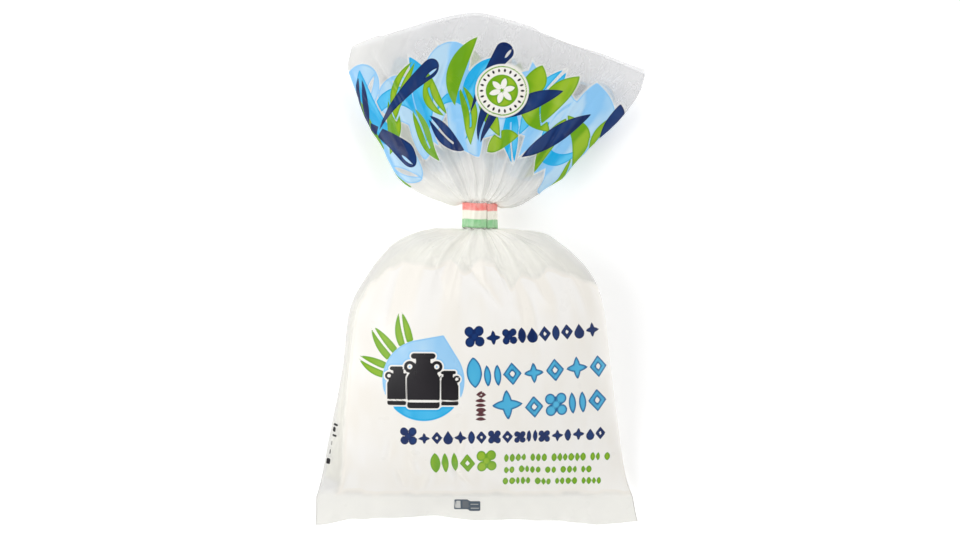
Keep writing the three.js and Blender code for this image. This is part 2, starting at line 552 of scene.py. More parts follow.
TINTS: dict[Ink, Tint] = {
    Ink.WHITE: Tint(srgb(247, 243, 235), srgb(252, 250, 246)),
    Ink.SKY: Tint(srgb(142, 202, 246), srgb(190, 226, 250)),
    Ink.CYAN: Tint(srgb(6, 172, 230), srgb(92, 204, 250)),
    Ink.AZURE: Tint(srgb(62, 170, 220), srgb(92, 196, 232), srgb(24, 100, 154)),
    Ink.GREEN: Tint(srgb(108, 166, 4), srgb(156, 194, 34)),
    Ink.NAVY: Tint(srgb(2, 34, 90), srgb(12, 56, 118)),
    Ink.WINE: Tint(srgb(92, 48, 54), srgb(112, 66, 70)),
    Ink.SLATE: Tint(srgb(74, 88, 102), srgb(116, 120, 124)),
    Ink.BLACK: Tint(srgb(16, 14, 20), srgb(32, 28, 34)),
}
EDGE_SOFTNESS = 0.16
PANEL_SOFTNESS = 1.5
FAR_OUTSIDE = -20.0


@dataclass
class PrintSheet:
    """The print over one film piece. x and y are the places of its points before folding, seen from above."""

    s: Array
    d: Array
    x: Array
    y: Array
    inks: dict[Ink, Array] = field(init=False)

    def __post_init__(self) -> None:
        """Starts with no ink anywhere."""
        self.inks = {ink: np.full(self.x.shape, FAR_OUTSIDE) for ink in Ink}

    def paint(self, ink: Ink, distance: Array) -> None:
        """Prints a shape over what is there.

        Args:
            ink: The shape's ink.
            distance: Signed distance to the shape's edge, negative inside, in mm.
        """
        order = list(Ink)
        for other in order[order.index(ink) + 1:]:
            self.cut(other, distance)
        np.maximum(self.inks[ink], -distance, out=self.inks[ink])

    def paint_front(self, ink: Ink, distance: Array) -> None:
        """Prints a shape on the front sheet alone."""
        self.paint(ink, np.where(self.s <= LAY_FLAT, distance, -FAR_OUTSIDE))

    def cut(self, ink: Ink, distance: Array) -> None:
        """Takes a shape out of one ink."""
        np.minimum(self.inks[ink], distance, out=self.inks[ink])


def turned(x: Array, y: Array, centre: tuple[float, float], angle: float) -> tuple[Array, Array]:
    """Coordinates in a frame of its own.

    Args:
        x: First coordinate.
        y: Second coordinate.
        centre: The frame's origin.
        angle: Angle of its first axis, in radians.

    Returns:
        Both coordinates in that frame.
    """
    dx, dy = x - centre[0], y - centre[1]
    cos, sin = math.cos(angle), math.sin(angle)
    return dx * cos + dy * sin, dy * cos - dx * sin


def petal_distance(x: Array, y: Array, length: float, width: float, bend: float = 0.0) -> Array:
    """Signed distance to a lens-shaped petal that lies along x.

    Args:
        x: Coordinate along the petal.
        y: Coordinate across it.
        length: Tip to tip.
        width: Greatest width.
        bend: How far its middle bows across, in mm.

    Returns:
        Distances, negative inside.
    """
    bowed = y - bend * (1 - (2 * x / length) ** 2)
    radius = (length**2 / 4 + width**2 / 4) / width
    return np.hypot(x, np.abs(bowed) + radius - width / 2) - radius


def drop_distance(x: Array, y: Array, length: float, radius: float) -> Array:
    """Signed distance to a drop with its round end at x = 0 and its point at x = length.

    Args:
        x: Coordinate along the drop.
        y: Coordinate across it.
        length: Middle of the round end to the point.
        radius: Radius of the round end.

    Returns:
        Distances, negative inside.
    """
    sin = radius / length
    cos = math.sqrt(1 - sin**2)
    past_round_end = x * cos > np.abs(y) * sin
    return np.where(past_round_end, x * sin + np.abs(y) * cos, np.hypot(x, y)) - radius


def crescent_distance(x: Array, y: Array, radius: float, bite: float) -> Array:
    """Signed distance to a crescent: a disc round the origin with a bite out of its +x side."""
    return np.maximum(np.hypot(x, y) - radius, 0.95 * radius - np.hypot(x - bite, y))


def block_distance(x: Array, y: Array, length: float, height: float, corner: float) -> Array:
    """Signed distance to a block round the origin, with its corners rounded to a radius."""
    qx, qy = np.abs(x) - length / 2 + corner, np.abs(y) - height / 2 + corner
    return np.hypot(np.maximum(qx, 0), np.maximum(qy, 0)) + np.minimum(np.maximum(qx, qy), 0) - corner


def churn_distance(x: Array, y: Array, height: float) -> Array:
    """Signed distance to a milk churn that stands at the origin.

    Args:
        x: Coordinate across the churn.
        y: Coordinate up it.
        height: Its height.

    Returns:
        Distances, negative inside.
    """
    across, up = np.abs(x) / height, y / height
    shoulder = (across - 0.29 + 0.62 * (up - 0.56)) / math.hypot(1, 0.62)
    body = np.maximum.reduce([block_distance(across, up - 0.41, 0.58, 0.82, 0.05), shoulder])
    return height * np.minimum.reduce([
        np.maximum(body, 0.022 - np.abs(up - 0.13)),
        block_distance(across, up - 0.84, 0.26, 0.16, 0.02),
        block_distance(across, up - 0.94, 0.44, 0.1, 0.05),
        np.abs(np.hypot(across - 0.24, up - 0.75) - 0.075) - 0.028,
    ])


class Motif(Enum):
    """Shapes of the scattered print round the open top."""

    PETAL = "petal"
    SPLIT_PETAL = "petal with a bare vein"
    DROP = "drop"
    CRESCENT = "crescent"

    def distance(self, x: Array, y: Array, length: float, width: float, bend: float) -> Array:
        """Signed distance to the motif, which lies along x.

        Args:
            x: Coordinate along the motif.
            y: Coordinate across it.
            length: End to end.
            width: Greatest width.
            bend: How far a petal's middle bows across.

        Returns:
            Distances, negative inside.
        """
        if self is Motif.DROP:
            radius = width / 2
            from_round_end = x + length / 2 - radius
            shine = petal_distance(from_round_end, y - 0.45 * radius, 0.7 * width, 0.14 * width)
            return np.maximum(drop_distance(from_round_end, y, length - radius, radius), -shine)
        if self is Motif.CRESCENT:
            return crescent_distance(x, y, length / 2.6, length / 6)
        petal = petal_distance(x, y, length, width, bend)
        if self is Motif.PETAL:
            return petal
        middle = np.abs(y - bend * (1 - (2 * x / length) ** 2))
        vein = np.maximum(middle - 0.5 - 0.02 * np.abs(x), x - 0.22 * length)
        return np.maximum(petal, -vein)


@dataclass(frozen=True)
class Scatter:
    """One ink's motifs, spread over the film round the open top."""

    ink: Ink
    motifs: tuple[Motif, ...]
    columns: int
    rows: int
    length: tuple[float, float]
    width: tuple[float, float]
    tilt: float  # greatest angle from along the tube, in radians
    shift: float  # how far the grid of places is turned, in columns
    seed: int
    bend: float = 0.16  # most that a petal bows, over its length
    halo: float | None = 0.8  # gap between motifs of this ink that cross, in mm, or none where they merge

    def paint(self, sheet: PrintSheet, band: tuple[float, float]) -> None:
        """Prints the motifs inside a band.

        Args:
            sheet: The print to add to.
            band: Where the print starts and ends, as film from the tie.
        """
        rng = np.random.default_rng(self.seed)
        for row in range(self.rows):
            for column in range(self.columns):
                length, width = rng.uniform(*self.length), rng.uniform(*self.width)
                angle = math.pi / 2 + rng.uniform(-self.tilt, self.tilt)
                reach = max(abs(math.sin(angle)) * length, width) / 2
                place = (row + 0.5 + rng.uniform(-0.35, 0.35)) / self.rows
                d = band[0] + reach + (band[1] - band[0] - 2 * reach) * place
                step = column + self.shift + 0.5 * (row % 2) + rng.uniform(-0.3, 0.3)
                ds = np.mod(sheet.s - ROUND * step / self.columns + LAY_FLAT, ROUND) - LAY_FLAT
                x, y = turned(ds, sheet.d, (0.0, d), angle + math.pi * rng.integers(2))
                motif = self.motifs[rng.integers(len(self.motifs))]
                distance = motif.distance(x, y, length, width, rng.uniform(-self.bend, self.bend) * length)
                if self.halo is not None:
                    sheet.cut(self.ink, distance - self.halo)
                sheet.paint(self.ink, distance)


class Ornament(Enum):
    """Small shapes that make up the rows on the front. Each value is the shape's width over its height."""

    PETAL = 0.52
    DROP = 0.72
    LOZENGE = 0.86
    QUATREFOIL = 0.98
    SEEDS = 0.84
    SPARKLE = 1.04

    def distance(self, x: Array, y: Array, height: float) -> Array:
        """Signed distance to the ornament round the origin.

        Args:
            x: Coordinate across the ornament.
            y: Coordinate up it.
            height: Its height.

        Returns:
            Distances, negative inside.
        """
        width = height * self.value
        if self is Ornament.PETAL:
            return petal_distance(y, x, height, width)
        if self is Ornament.DROP:
            return drop_distance(y + (height - width) / 2, x, height - width / 2, width / 2)
        if self is Ornament.LOZENGE:
            slant = (np.abs(x) * height + np.abs(y) * width) / math.hypot(width, height)
            half = width * height / 2 / math.hypot(width, height)
            return np.maximum(slant - half, 0.3 * half - slant)
        if self is Ornament.QUATREFOIL:
            lobe = np.hypot(np.abs(x) - 0.25 * width, np.abs(y) - 0.25 * height) - 0.24 * width
            return np.minimum(lobe, np.hypot(x, y) - 0.2 * width)
        if self is Ornament.SEEDS:
            return petal_distance(y, np.abs(x) - 0.24 * height, height, 0.34 * height)
        upright = petal_distance(y, x, height, 0.34 * height)
        return np.minimum(upright, petal_distance(x, y, width, 0.34 * height))


@dataclass(frozen=True)
class OrnamentRow:
    """A row of small ornaments on the front, placed as seen from above."""

    start: tuple[float, float]
    length: float
    height: float
    ink: Ink
    seed: int
    tilt: float = 0.0
    gap: float = 0.07  # space between ornaments, over their height
    first: float = 1.35  # height of the first ornament, over the others'
    heights: tuple[float, float] = (0.92, 1.04)

    def paint(self, sheet: PrintSheet) -> None:
        """Prints the row.

        Args:
            sheet: The print to add to.
        """
        rng = np.random.default_rng(self.seed)
        shapes, ends = [], [0.0]
        while ends[-1] < self.length:
            kind = rng.choice([shape for shape in Ornament if not shapes or shape is not shapes[-1][0]])
            height = self.height * (rng.uniform(*self.heights) if shapes else self.first)
            shapes.append((kind, height))
            ends.append(ends[-1] + kind.value * height + self.gap * self.height)
        x, y = turned(sheet.x, sheet.y, self.start, self.tilt)
        x = x * ends[-1] / self.length
        near = np.abs(y) < self.height
        for (kind, height), start in zip(shapes, ends):
            across, up = x - start - kind.value * height / 2, y - (height - self.height) / 2
            sheet.paint_front(self.ink, np.where(near, kind.distance(across, up, height), -FAR_OUTSIDE))


@dataclass(frozen=True)
class GrainRow:
    """A row of upright grains on the front, now and then with a wide gap, placed as seen from above."""

    start: tuple[float, float]
    length: float
    height: float
    ink: Ink
    seed: int
    widths: tuple[float, float] = (1.7, 2.9)
    gap: float = 0.55
    long_gap: float = 2.2
    long_gaps: float = 0.15  # share of the gaps that are wide

    def paint(self, sheet: PrintSheet) -> None:
        """Prints the row.

        Args:
            sheet: The print to add to.
        """
        rng = np.random.default_rng(self.seed)
        at = 0.0
        while at < self.length:
            width, height = rng.uniform(*self.widths), self.height * rng.uniform(0.85, 1.0)
            x, y = sheet.x - self.start[0] - at - width / 2, sheet.y - self.start[1]
            sheet.paint_front(self.ink, petal_distance(y, x, height, min(width, 0.8 * height)))
            at += width + (self.long_gap if rng.random() < self.long_gaps else self.gap)


# Finishes


class NodeNet:
    """Short calls that add nodes to a node tree."""

    def __init__(self, tree: bpy.types.NodeTree) -> None:
        """Keeps the tree that nodes are added to."""
        self.tree = tree

    def feed(self, socket: Socket, value: Socket | Colour | float) -> None:
        """Gives a socket a link, a colour or a number.

        Args:
            socket: The socket to feed.
            value: What it gets.
        """
        if isinstance(value, Socket):
            self.tree.links.new(value, socket)
        elif isinstance(value, tuple):
            socket.default_value = (*value, 1)
        else:
            socket.default_value = value

    def node(
        self, kind: str, given: dict[str | int, Socket | Colour | float] | None = None, **options: object,
    ) -> bpy.types.Node:
        """Adds a node, sets its options and feeds its inputs.

        Args:
            kind: The node's type name.
            given: What its inputs get, by name or number.
            **options: Properties of the node.

        Returns:
            The node.
        """
        made = self.tree.nodes.new(kind)
        for key, value in options.items():
            setattr(made, key, value)
        for key, value in (given or {}).items():
            self.feed(made.inputs[key], value)
        return made

    def math(self, operation: str, *values: Socket | float) -> Socket:
        """Adds a Math node with so many inputs."""
        return self.node("ShaderNodeMath", dict(enumerate(values)), operation=operation).outputs[0]

    def blend(self, share: Socket, low: Socket | Colour, high: Socket | Colour) -> Socket:
        """Mixes a share of a second colour into a first one."""
        made = self.node("ShaderNodeMix", {"Factor": share, "A": low, "B": high}, data_type="RGBA")
        return made.outputs["Result"]

    def spread(self, value: Socket, low: Socket | float, high: Socket | float) -> Socket:
        """Maps 0 to 1 onto the range from low to high."""
        made = self.node("ShaderNodeMapRange", {"Value": value, "To Min": low, "To Max": high})
        return made.outputs["Result"]

    def step(self, value: Socket, start: Socket | float, end: Socket | float, **ends: float) -> Socket:
        """A smooth step from start to end.

        Args:
            value: The value that passes the step.
            start: Where the step starts.
            end: Where it ends.
            **ends: To_Min and To_Max, where they aren't 0 and 1.

        Returns:
            The step's socket.
        """
        given = {"Value": value, "From Min": start, "From Max": end}
        given |= {name.replace("_", " "): level for name, level in ends.items()}
        made = self.node("ShaderNodeMapRange", given, interpolation_type="SMOOTHSTEP")
        return made.outputs["Result"]


class Shader(NodeNet):
    """A material's nodes."""

    def __init__(self, name: str) -> None:
        """Starts a material with a Principled BSDF.

        Args:
            name: The material's name.
        """
        self.material = bpy.data.materials.new(name)
        self.material.use_nodes = True
        super().__init__(self.material.node_tree)
        self.surface = next(n for n in self.tree.nodes if n.type == "BSDF_PRINCIPLED")

    def attribute(self, name: str) -> Socket:
        """The socket of a mesh attribute's number."""
        return self.node("ShaderNodeAttribute", attribute_name=name).outputs["Fac"]

    def noise(self, scale: float, detail: float = 3.0) -> Socket:
        """Noise fixed to the piece.

        Args:
            scale: Cells in a metre.
            detail: Octaves.

        Returns:
            The noise's value.
        """
        place = self.node("ShaderNodeTexCoord").outputs["Object"]
        made = self.node("ShaderNodeTexNoise", {"Vector": place, "Scale": scale, "Detail": detail})
        return made.outputs["Fac"]

    def bump(self, height: Socket, distance: float, strength: float) -> None:
        """Raises the surface by a height from 0 to 1; distance is how far 1 raises it, in metres."""
        made = self.node("ShaderNodeBump", {"Height": height, "Distance": distance, "Strength": strength})
        self.feed(self.surface.inputs["Normal"], made.outputs["Normal"])

    def dress(self, **sockets: Socket | Colour | float) -> bpy.types.Material:
        """Feeds the Principled BSDF.

        Args:
            **sockets: What each input gets, its name in small letters with _ for a space.

        Returns:
            The material.
        """
        by_name = {socket.name.lower().replace(" ", "_"): socket for socket in self.surface.inputs}
        for name, value in sockets.items():
            self.feed(by_name[name], value)
        return self.material


class InkLayer(NodeNet):
    """The node group that lays one ink over what is under it."""

    INPUTS = (
        ("Under", "NodeSocketColor"), ("Cover", "NodeSocketFloat"), ("Inside", "NodeSocketFloat"),
        ("Deep", "NodeSocketColor"), ("Light", "NodeSocketColor"), ("Tone", "NodeSocketFloat"),
        ("Rim", "NodeSocketColor"), ("Rim Width", "NodeSocketFloat"), ("Softness", "NodeSocketFloat"),
    )
    OUTPUTS = (("Color", "NodeSocketColor"), ("Cover", "NodeSocketFloat"))

    def __init__(self) -> None:
        """Builds the group, which puts out the colour with the ink on it and how much film is covered."""
        super().__init__(bpy.data.node_groups.new("ink_layer", "ShaderNodeTree"))
        for way, sockets in (("INPUT", self.INPUTS), ("OUTPUT", self.OUTPUTS)):
            for name, kind in sockets:
                self.tree.interface.new_socket(name, in_out=way, socket_type=kind)
        given = self.node("NodeGroupInput").outputs
        put = self.node("NodeGroupOutput").inputs
        outer_edge = self.math("MULTIPLY", given["Softness"], -1.0)
        mask = self.step(given["Inside"], outer_edge, given["Softness"])
        body = self.step(given["Inside"], given["Softness"], given["Rim Width"])
        ink = self.blend(body, given["Rim"], self.blend(given["Tone"], given["Deep"], given["Light"]))
        self.feed(put["Color"], self.blend(mask, given["Under"], ink))
        self.feed(put["Cover"], self.math("MAXIMUM", given["Cover"], mask))


@dataclass(frozen=True)
class PrintedFilm:
    """Frosted translucent film with its print."""

    clear: Colour = srgb(199, 199, 203)  # bare film that lies smooth
    milky: Colour = srgb(252, 251, 245)  # bare film that is gathered, creased or sealed, and the colour of the painted light on its folds and left side
    clear_alpha: float = 0.3
    milky_alpha: float = 0.86
    printed_alpha: float = 0.97
    milk_drift: float = 0.08  # how much its milkiness drifts over the film
    inner_haze: float = 0.4  # how milky the film's inner face is, over its outer face
    veil: float = 0.5  # how much of the ink's colour the film hides when it is seen from within
    bare_glow: float = 0.88  # how much of a lamp's light bare film scatters on, into what lies behind it
    printed_glow: float = 0.6  # the same for printed film
    roughness: tuple[float, float] = (0.22, 0.38)
    rim_width: float = 1.0

    def build(self) -> bpy.types.Material:
        """Builds the material.

        Returns:
            The material.
        """
        shader = Shader("printed_film")
        inside = shader.attribute("inside")
        drift = shader.spread(shader.noise(70.0, 2.0), -self.milk_drift, self.milk_drift)
        milk = shader.math("ADD", shader.attribute("milk"), drift)
        bare = shader.blend(milk, self.clear, self.milky)
        colour, cover = self.inks(shader, bare)
        shown = shader.blend(shader.math("MULTIPLY", inside, self.veil), colour, self.milky)
        haze = shader.spread(milk, self.clear_alpha, self.milky_alpha)
        haze = shader.math("MULTIPLY", haze, shader.spread(inside, 1.0, self.inner_haze))
        alpha = shader.spread(cover, haze, self.printed_alpha)
        shadow = shader.node("ShaderNodeLightPath").outputs["Is Shadow Ray"]
        passed = shader.math("MULTIPLY", shadow, shader.spread(cover, self.bare_glow, self.printed_glow))
        shader.bump(shader.noise(150.0, 2.0), distance=0.0001, strength=0.1)
        return shader.dress(
            base_color=shown,
            alpha=shader.math("MULTIPLY", alpha, shader.math("SUBTRACT", 1.0, passed)),
            roughness=shader.spread(shader.noise(60.0), *self.roughness),
            specular_ior_level=0.3,
        )

    def inks(self, shader: Shader, bare: Socket) -> tuple[Socket, Socket]:
        """Lays all inks over the film.

        Args:
            shader: The film's shader.
            bare: The bare film's colour.

        Returns:
            The colour with the inks on it and how much of the film they cover.
        """
        layer_tree = InkLayer().tree
        # The tone attribute carries random drift and also painted light and shade from the folds.
        tone = shader.attribute("tone")
        colour, cover = bare, 0.0
        for ink, tint in TINTS.items():
            softness = PANEL_SOFTNESS if ink is Ink.WHITE else EDGE_SOFTNESS
            given = {
                "Under": colour, "Cover": cover, "Inside": shader.attribute(ink.value),
                "Deep": tint.deep, "Light": tint.light, "Tone": tone,
                "Rim": tint.rim or tint.deep, "Rim Width": softness + self.rim_width, "Softness": softness,
            }
            layer = shader.node("ShaderNodeGroup", given, node_tree=layer_tree)
            colour, cover = layer.outputs["Color"], layer.outputs["Cover"]
        return colour, cover


@dataclass(frozen=True)
class WetCheese:
    """Milky brine and cheese behind the film."""

    colour: Colour = srgb(254, 253, 241)
    deeper: Colour = srgb(247, 245, 226)
    clouding: tuple[float, float] = (-0.4, 1.5)  # how far its noise swings from the deeper colour
    lump_height: float = 0.0006
    roughness: tuple[float, float] = (0.25, 0.5)

    def build(self) -> bpy.types.Material:
        """Builds the material.

        Returns:
            The material.
        """
        shader = Shader("wet_cheese")
        shader.bump(shader.noise(75.0, 2.0), distance=self.lump_height, strength=0.3)
        share = shader.spread(shader.noise(28.0, 2.0), *self.clouding)
        return shader.dress(
            base_color=shader.blend(share, self.deeper, self.colour),
            roughness=shader.spread(shader.noise(90.0), *self.roughness),
        )


@dataclass(frozen=True)
class StripedTape:
    """Glossy tape with three stripes along it."""

    red: Colour = srgb(251, 136, 130)
    cream: Colour = srgb(250, 246, 231)
    green: Colour = srgb(140, 206, 145)
    lower_edge: float = 0.345  # where stripes meet, as a share of the tape's width
    upper_edge: float = 0.7
    blur: float = 0.02
    wear: tuple[float, float] = (-0.2, 0.4)  # how far its noise bleaches the stripes
    roughness: tuple[float, float] = (0.2, 0.38)

    def build(self) -> bpy.types.Material:
        """Builds the material.

        Returns:
            The material.
        """
        shader = Shader("striped_tape")
        ramp = shader.node("ShaderNodeValToRGB")
        stops = ramp.color_ramp.elements
        stops[0].color = (*self.green, 1)
        stops[1].position = self.upper_edge + self.blur
        stops[1].color = (*self.red, 1)
        stops.new(self.lower_edge - self.blur).color = (*self.green, 1)
        stops.new(self.lower_edge + self.blur).color = (*self.cream, 1)
        stops.new(self.upper_edge - self.blur).color = (*self.cream, 1)
        shader.feed(ramp.inputs["Fac"], shader.attribute("across"))
        shader.bump(shader.noise(500.0, 2.0), distance=0.0001, strength=0.4)
        worn = shader.spread(shader.noise(500.0, 2.0), *self.wear)
        return shader.dress(
            base_color=shader.blend(worn, ramp.outputs["Color"], self.cream),
            roughness=shader.spread(shader.noise(300.0), *self.roughness),
        )


@dataclass(frozen=True)
class PaleFloor:
    """Matt white sweep under the pack, lit a little from behind."""

    colour: Colour = (0.95, 0.95, 0.95)
    glow: float = 0.24

    def build(self) -> bpy.types.Material:
        """Builds the material."""
        return Shader("pale_floor").dress(
            base_color=self.colour, roughness=0.9, specular_ior_level=0.1,
            emission_color=(1.0, 1.0, 1.0), emission_strength=self.glow,
        )


# Sub-assemblies

POUCH_FORM = TubeHalf(
    left=Guide((
        (-NECK_HALF_WIDTH, -NECK_SHOWING, 19), (-20, -1.7, 19), (-34, -4.2, 19), (-46.5, -13, 19),
        (-55.6, -24.7, 19), (-62.8, -38, 19), (-67.4, -68.8, 16), (-72.9, -98.2, 12), (-78, -124, 7.5),
        (-80.8, -POUCH_LENGTH, 6),
    )),
    right=Guide((
        (NECK_HALF_WIDTH, -NECK_SHOWING, 19), (18, -1.9, 19), (32, -4.2, 19), (46, -13, 19), (56, -24.7, 19),
        (61, -38, 19), (64.6, -68.8, 16), (68.6, -98.2, 12), (72.6, -124, 7.5), (75.9, -POUCH_LENGTH, 6),
    )),
    upper=Guide((
        (0, -NECK_SHOWING, 25), (0, -4, 31), (0, -10, 38.5), (0, -20, 44.5), (0, -36, 48), (0, -60, 49),
        (0, -88, 44), (0, -108, 33.5), (0, -120, 21), (0, -128, 10.5), (0, -POUCH_LENGTH, 6.2),
    )),
    lower=Guide((
        (0, -NECK_SHOWING, 13), (0, -4, 9), (0, -10, 4.5), (0, -20, 1), (0, -36, -2), (0, -60, -4),
        (0, -88, -3.5), (0, -110, -1), (0, -125, 2.5), (0, -POUCH_LENGTH, 5.8),
    )),
    shape=SectionShape(bluntness=((0, 2), (0.35, 2.1), (0.6, 2.25), (0.8, 1.9), (1, 1.3))),
)
FLARE_FORM = TubeHalf(
    left=Guide((
        (-NECK_HALF_WIDTH, 12.9, 19), (-12.5, 11.6, 19), (-19, 13.9, 19), (-31, 19.8, 17), (-39.6, 26, 15),
        (-46.6, 37, 13), (-54.8, 49, 11.5), (-61.8, 66.8, 10.5), (-64.6, 79, 10), (-63.2, 88.5, 10),
    )),
    right=Guide((
        (NECK_HALF_WIDTH, 12.9, 19), (13.5, 9.8, 19), (21, 11.3, 19), (34, 19.6, 17), (43.5, 28, 15),
        (56, 40, 13), (70, 54.6, 11.5), (79.4, 69.5, 10.5), (82, 78.2, 10),
    )),
    upper=Guide((
        (0, 12.9, 25.4), (0, 14.4, 27.4), (0, 24, 28.6), (0, 40, 25), (0, 60, 21.5), (0, 80, 19.5),
        (0, 104.6, 19),
    )),
    lower=Guide((
        (0, 12.9, 13), (0, 16, 8), (0, 24, 3.5), (0, 40, 1), (0, 60, 0.6), (0, 80, 0.6), (0, 104.6, 1.4),
    )),
    shape=SectionShape(tent=((0, 2), (0.5, 1.8), (1, 1.16)), ridge=-0.14, ridge_round=0.05),
)


@dataclass
class FilmPiece:
    """What the pouch and the open top share: a closed skin of thin film with print on it."""

    net: Net
    thickness: float = 0.16
    inner_step: int = 3  # the inside has one ring for so many of the outside's
    fold_reach: int = 3  # points to either side that a fold is measured against
    fold_milk_and_highlight: float = 0.3  # how much milkier a fold 1 mm high makes the film: partly whitened creased film, partly a painted highlight on the folds
    fold_tone: float = 1.1  # painted light and shade: how much lighter a fall of 1 mm towards the right makes the inks
    haze: float = 0.7  # how milky bare film is right beside an ink
    haze_reach: float = 1.6  # how far that goes, in mm

    def skin(
        self, name: str, base: Array, height: Array, first_inner: int, end: End, values: dict[str, Array],
        finish: bpy.types.Material,
    ) -> bpy.types.Object:
        """Makes the film with an outside, and an inside that keeps clear of it.

        Args:
            name: The piece's name.
            base: Rings of the smooth film.
            height: Height of all folds.
            first_inner: The first ring that has an inside.
            end: How the skin is closed.
            values: Numbers at each point of the outside, by attribute name.
            finish: The film's material.

        Returns:
            The new object.
        """
        reach, count = self.inner_step, len(base)
        padded = np.pad(height, ((reach, reach), (0, 0)), "edge")
        lowest = np.minimum.reduce([padded[k:k + count] for k in range(2 * reach + 1)])
        lowest = np.minimum.reduce([np.roll(lowest, k, axis=1) for k in (-1, 0, 1)])
        out = normals_of(base)
        outer = base + out * height[:, :, None]
        kept = np.append(np.arange(count - 1, first_inner, -self.inner_step), first_inner)
        inner = (base + out * (lowest - self.thickness)[:, :, None])[kept]
        outer[..., 2] = np.maximum(outer[..., 2], 0.0)
        inner[..., 2] = np.maximum(inner[..., 2], self.thickness)
        rings = np.concatenate([outer, inner])
        both = {key: np.concatenate([numbers, numbers[kept]]) for key, numbers in values.items()}
        both["inside"] = np.repeat([0.0, 1.0], [outer[..., 0].size, inner[..., 0].size])
        return make_piece(name, Role("film", "bag"), rings, self.net.faces(len(rings), end), both, finish)

    def surface_values(self, sheet: PrintSheet, height: Array, milk: Array) -> dict[str, Array]:
        """What the film's finish reads at each point of the outside.

        Args:
            sheet: The print.
            height: Height of all folds.
            milk: How milky the smooth film is, from 0 to 1.

        Returns:
            The numbers, by attribute name.
        """
        right, left = np.roll(height, -self.fold_reach, axis=1), np.roll(height, self.fold_reach, axis=1)
        drift = film_noise(sheet.s, sheet.d, cell=13.0, seed=91)
        drift = drift + 0.6 * film_noise(sheet.s, sheet.d / 3, cell=3.5, seed=92)
        values = {ink.value: inside for ink, inside in sheet.inks.items()}
        beside_ink = smooth(1 + np.maximum.reduce(list(sheet.inks.values())) / self.haze_reach)
        bend = np.abs(height - (right + left) / 2)
        # Milk rises with each fold's bend, partly as whitened creased film and partly as a painted highlight.
        values["milk"] = np.maximum(milk, self.haze * beside_ink) + self.fold_milk_and_highlight * bend
        # The tone drifts at random, and its change across each fold is painted light and shade.
        values["tone"] = np.clip(0.5 + 0.4 * drift + self.fold_tone * (left - right), 0, 1)
        return values


